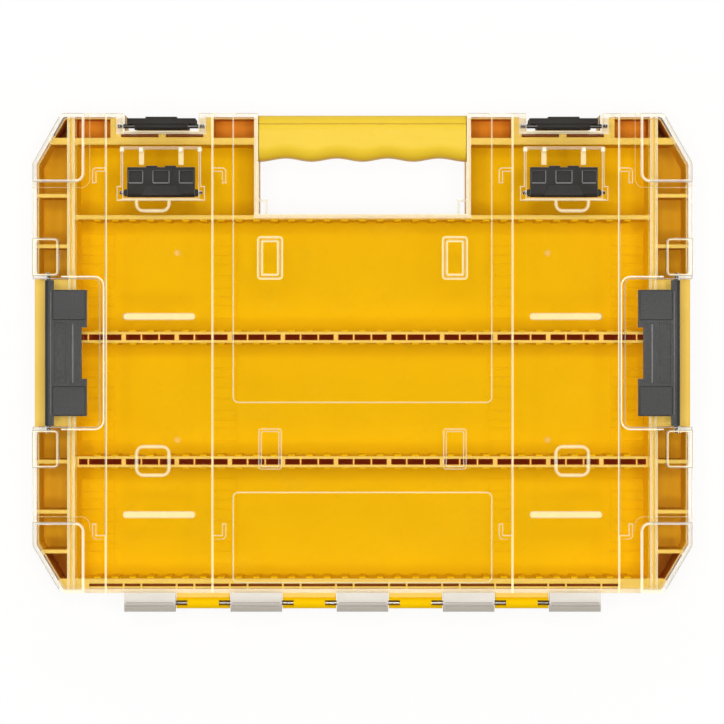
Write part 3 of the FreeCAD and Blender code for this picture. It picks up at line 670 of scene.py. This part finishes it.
def floor_steps():
    """Thin plates on the tray floor, with narrow gaps that show as fine lines."""
    shape = bmesh.new()
    lines = sorted({way * step for step in LINE_STEPS for way in (-1, 1)})
    for middle in ROW_MIDDLES:
        for low, high in zip(lines, lines[1:]):
            y = (middle + low + 0.4, middle + high - 0.4)
            for x in STEP_COLUMNS:
                block(shape, x, y, (FLOOR - 0.3, FLOOR + 0.4), round_by=0.12, finish=MAIN)
    add_piece("floor_steps", to_mesh(shape, "floor_steps"), BASE, [tray_yellow])


def wall_guides():
    """Upright guides along the row walls, for cross dividers to slide between."""
    shape = bmesh.new()
    pitch = HINGE_PITCH / 6
    walls = ROW_ENDS + tuple((middle + way * DIVIDER_HALF, way) for middle, way in DIVIDERS)
    for wall, way in walls:
        y = sorted((wall - way * GUIDE_SINK, wall + way * GUIDE_DEPTH))
        for step in range(-15, 16):
            x = step * pitch
            block(
                shape, (x - GUIDE_HALF, x + GUIDE_HALF), y, (FLOOR - GUIDE_SINK, GUIDE_TOP),
                round_by=0.25, finish=MAIN)
    add_piece("wall_guides", to_mesh(shape, "wall_guides"), BASE, [tray_yellow])


def gate_marks():
    """Small round marks where the tray was filled in its mould."""
    shape = bmesh.new()
    for x in GATE_COLUMNS:
        for y in GATE_ROWS:
            place = Matrix.Translation(Vector((x * MM, y * MM, FLOOR * MM)))
            made = bmesh.ops.create_cone(
                shape, cap_ends=True, segments=28, radius1=2.0 * MM, radius2=1.8 * MM, depth=0.5 * MM,
                matrix=place)
            tops = {face for vert in made["verts"] for face in vert.link_faces if face.normal.z > 0.9}
            bmesh.ops.inset_region(shape, faces=list(tops), thickness=0.7 * MM, depth=-0.2 * MM)
    # the marks take the tray's painted highlight colour
    add_piece("gate_marks", to_mesh(shape, "gate_marks"), BASE, [tray_top_highlight])


def tab_lines():
    """Two fine raised lines along each hinge tab, painted grey as shade on the hinge barrel."""
    shape = bmesh.new()
    for index in range(-2, 3):
        x = index * HINGE_PITCH
        for y in (-131.3, -133.1):
            block(shape, (x - 13.0, x + 13.0), (y - 0.3, y + 0.3), (48.3, 48.98), round_by=0.1, finish=MAIN)
    add_piece("tab_lines", to_mesh(shape, "tab_lines"), LID, [tab_shadow])


def clip_plates():
    """A raised tapered plate on each stack clip, and fine bars along its windows that carry a painted
    highlight.
    """
    for side, sign in (("left", -1), ("right", 1)):
        shape = bmesh.new()
        block(shape, (-11.0, 11.0), (91.6, 97.4), (59.7, 60.45), round_by=0.2, finish=MAIN)
        for vert in shape.verts:
            if vert.co.y > 94 * MM:
                vert.co.x *= CLIP_TAPER
        for x in CLIP_BARS:
            block(shape, (x - 0.35, x + 0.35), (98.5, 105.1), (59.7, 60.25), round_by=0.15, finish=EDGE)
        for x in CLIP_WINDOWS:
            block(shape, x, (98.0, 98.9), (59.7, 60.25), round_by=0.15, finish=EDGE)
        for way in (-1, 1):
            block(shape, (way * 18.2, way * 20.1), (91.2, 95.0), (56.0, 59.4), round_by=0.3, finish=MAIN)
        bmesh.ops.translate(shape, verts=shape.verts, vec=Vector((sign * LATCH_X * MM, 0, 0)))
        add_piece(
            "stack_clip_plate_" + side, to_mesh(shape, "stack_clip_plate_" + side),
            "stack_clip_" + side, [latch_dark, latch_edge_highlight])


def pocket_posts():
    """Small posts on the frame of each clip pocket, painted pale as reflection."""
    shape = bmesh.new()
    for sign in (-1, 1):
        for x in POST_PLACES:
            middle = sign * LATCH_X + x
            block(shape, (middle - 1.2, middle + 1.2), (115.3, 117.9), (62.5, 63.3), round_by=0.3, finish=MAIN)
    add_piece("pocket_posts", to_mesh(shape, "pocket_posts"), LID, [lid_edge_reflection])


def ribbon(shape, points, width, low, high, finish):
    """Add a flat bar of one width along a path in the level plane, all in millimetres."""
    rings = []
    for index, point in enumerate(points):
        before = points[max(index - 1, 0)]
        after = points[min(index + 1, len(points) - 1)]
        along = (Vector(after) - Vector(before)).normalized()
        aside = Vector((-along.y, along.x)) * width / 2
        left = Vector(point) + aside
        right = Vector(point) - aside
        corners = ((left, low), (left, high), (right, high), (right, low))
        rings.append([shape.verts.new(Vector((*flat, height)) * MM) for flat, height in corners])
    made = [shape.faces.new(rings[0]), shape.faces.new(reversed(rings[-1]))]
    for first, second in zip(rings, rings[1:]):
        for side in range(4):
            turn = (side + 1) % 4
            made.append(shape.faces.new((first[turn], first[side], second[side], second[turn])))
    bmesh.ops.recalc_face_normals(shape, faces=made)
    for face in made:
        face.material_index = finish


def recess_lines():
    """A wall line round each side latch recess, below the lid's plate, painted pale as reflection."""
    shape = bmesh.new()
    bend = RECESS_BEND
    turns = [math.radians(90 * step / 6) for step in range(7)]
    for sign in (-1, 1):
        points = [(sign * RECESS_END, RECESS_MIDDLE + RECESS_REACH)]
        for way in (1, -1):
            arc = [
                (sign * (RECESS_EDGE + bend - bend * math.sin(turn)),
                 RECESS_MIDDLE + way * (RECESS_REACH - bend + bend * math.cos(turn)))
                for turn in turns]
            points += arc if way == 1 else arc[::-1]
        points.append((sign * RECESS_END, RECESS_MIDDLE - RECESS_REACH))
        ribbon(shape, points, width=0.8, low=59.4, high=60.1, finish=MAIN)
    add_piece("recess_lines", to_mesh(shape, "recess_lines"), LID, [lid_edge_reflection])


def side_latch_pads():
    """Raised ends on each side latch, and a fine ridge and a lip that carry a painted highlight."""
    for side, sign in (("left", -1), ("right", 1)):
        shape = bmesh.new()
        for low, high in ((-28.6, -12.6), (23.6, 39.8)):
            block(shape, (sign * 151.2, sign * 169.2), (low, high), (60.7, 61.5), round_by=0.4, finish=MAIN)
        block(shape, (sign * 157.4, sign * 158.8), (-11.0, 21.6), (60.7, 61.6), round_by=0.35, finish=EDGE)
        block(shape, (sign * 169.7, sign * 170.6), (-28.2, 39.4), (60.5, 61.2), round_by=0.3, finish=EDGE)
        add_piece(
            "side_latch_pads_" + side, to_mesh(shape, "side_latch_pads_" + side),
            "side_latch_" + side, [latch_black, latch_edge_highlight])


floor_steps()
wall_guides()
gate_marks()
tab_lines()
clip_plates()
pocket_posts()
recess_lines()
side_latch_pads()


# Floor, light and camera

CAMERA_HEIGHT = 2.6
CAMERA_LENS = 237
LAMP_HEIGHT = 2.6


def studio_floor():
    """A white floor that keeps the soft shadow of the case."""
    shape = bmesh.new()
    bmesh.ops.create_grid(shape, x_segments=1, y_segments=1, size=4)
    mesh = bpy.data.meshes.new("studio_floor")
    shape.to_mesh(mesh)
    shape.free()
    finish = bpy.data.materials.new("studio_white")
    finish.use_nodes = True
    tree = finish.node_tree
    shader = tree.nodes["Principled BSDF"]
    shader.inputs["Base Color"].default_value = (0.86, 0.86, 0.86, 1)
    shader.inputs["Roughness"].default_value = 0.9
    shader.inputs["Specular IOR Level"].default_value = 0
    glow = tree.nodes.new("ShaderNodeEmission")
    glow.inputs["Color"].default_value = (1, 1, 1, 1)
    path = tree.nodes.new("ShaderNodeLightPath")
    seen = tree.nodes.new("ShaderNodeMath")
    seen.operation = "MAXIMUM"
    also = tree.nodes.new("ShaderNodeMath")
    also.operation = "MAXIMUM"
    share = tree.nodes.new("ShaderNodeMath")
    share.operation = "MULTIPLY"
    share.inputs[1].default_value = 0.9
    mix = tree.nodes.new("ShaderNodeMixShader")
    tree.links.new(path.outputs["Is Camera Ray"], seen.inputs[0])
    tree.links.new(path.outputs["Is Glossy Ray"], seen.inputs[1])
    tree.links.new(seen.outputs[0], also.inputs[0])
    tree.links.new(path.outputs["Is Transmission Ray"], also.inputs[1])
    tree.links.new(also.outputs[0], share.inputs[0])
    tree.links.new(share.outputs[0], mix.inputs[0])
    tree.links.new(shader.outputs["BSDF"], mix.inputs[1])
    tree.links.new(glow.outputs["Emission"], mix.inputs[2])
    tree.links.new(mix.outputs["Shader"], tree.nodes["Material Output"].inputs["Surface"])
    mesh.materials.append(finish)
    floor = bpy.data.objects.new("studio_floor", mesh)
    bpy.context.scene.collection.objects.link(floor)


def studio_room():
    """A pale room whose ceiling is darker than its walls, so a flat lid shows no haze."""
    world = bpy.data.worlds.new("studio_room")
    bpy.context.scene.world = world
    world.use_nodes = True
    tree = world.node_tree
    ground = tree.nodes["Background"]
    place = tree.nodes.new("ShaderNodeTexCoord")
    parts = tree.nodes.new("ShaderNodeSeparateXYZ")
    ramp = tree.nodes.new("ShaderNodeValToRGB")
    ramp.color_ramp.elements[0].position = 0.0
    ramp.color_ramp.elements[0].color = (1, 1, 1, 1)
    ramp.color_ramp.elements[1].position = 0.97
    ramp.color_ramp.elements[1].color = (0.04, 0.04, 0.04, 1)
    shoulder = ramp.color_ramp.elements.new(0.8)
    shoulder.color = (0.6, 0.6, 0.6, 1)
    tree.links.new(place.outputs["Generated"], parts.inputs[0])
    tree.links.new(parts.outputs["Z"], ramp.inputs["Fac"])
    tree.links.new(ramp.outputs["Color"], ground.inputs["Color"])
    ground.inputs["Strength"].default_value = 0.5


def soft_box(name, place, size, power):
    """A soft lamp that faces the middle of the case; size is its breadth and its reach outwards."""
    lamp = bpy.data.lights.new(name, "AREA")
    lamp.shape = "RECTANGLE"
    lamp.size = size[0]
    lamp.size_y = size[1]
    lamp.energy = power
    holder = bpy.data.objects.new(name, lamp)
    holder.location = place
    away = Vector(place) - Vector((0, 0, 0.03))
    holder.rotation_euler = away.to_track_quat("Z", "Y").to_euler()
    bpy.context.scene.collection.objects.link(holder)


def photo_camera():
    """Looks straight down at the lid from far off, with the handle at the top of the picture."""
    lens = bpy.data.cameras.new("photo_camera")
    lens.lens = CAMERA_LENS
    lens.sensor_width = 36
    lens.clip_end = 20
    holder = bpy.data.objects.new("photo_camera", lens)
    holder.location = (-0.27 * MM, 0.68 * MM, LID_TOP + CAMERA_HEIGHT)
    bpy.context.scene.collection.objects.link(holder)
    bpy.context.scene.camera = holder


studio_floor()
studio_room()
soft_box("soft_box_front", (0.0, 0.43, LAMP_HEIGHT), size=(0.6, 0.26), power=15)
soft_box("soft_box_back", (0.0, -0.43, LAMP_HEIGHT), size=(0.6, 0.26), power=15)
soft_box("soft_box_left", (-0.54, 0.0, LAMP_HEIGHT), size=(0.5, 0.26), power=14)
soft_box("soft_box_right", (0.54, 0.0, LAMP_HEIGHT), size=(0.5, 0.26), power=14)
soft_box("soft_box_low", (0.0, 1.9, 1.5), size=(1.6, 0.5), power=9)
photo_camera()
bpy.context.scene.view_settings.view_transform = "Standard"
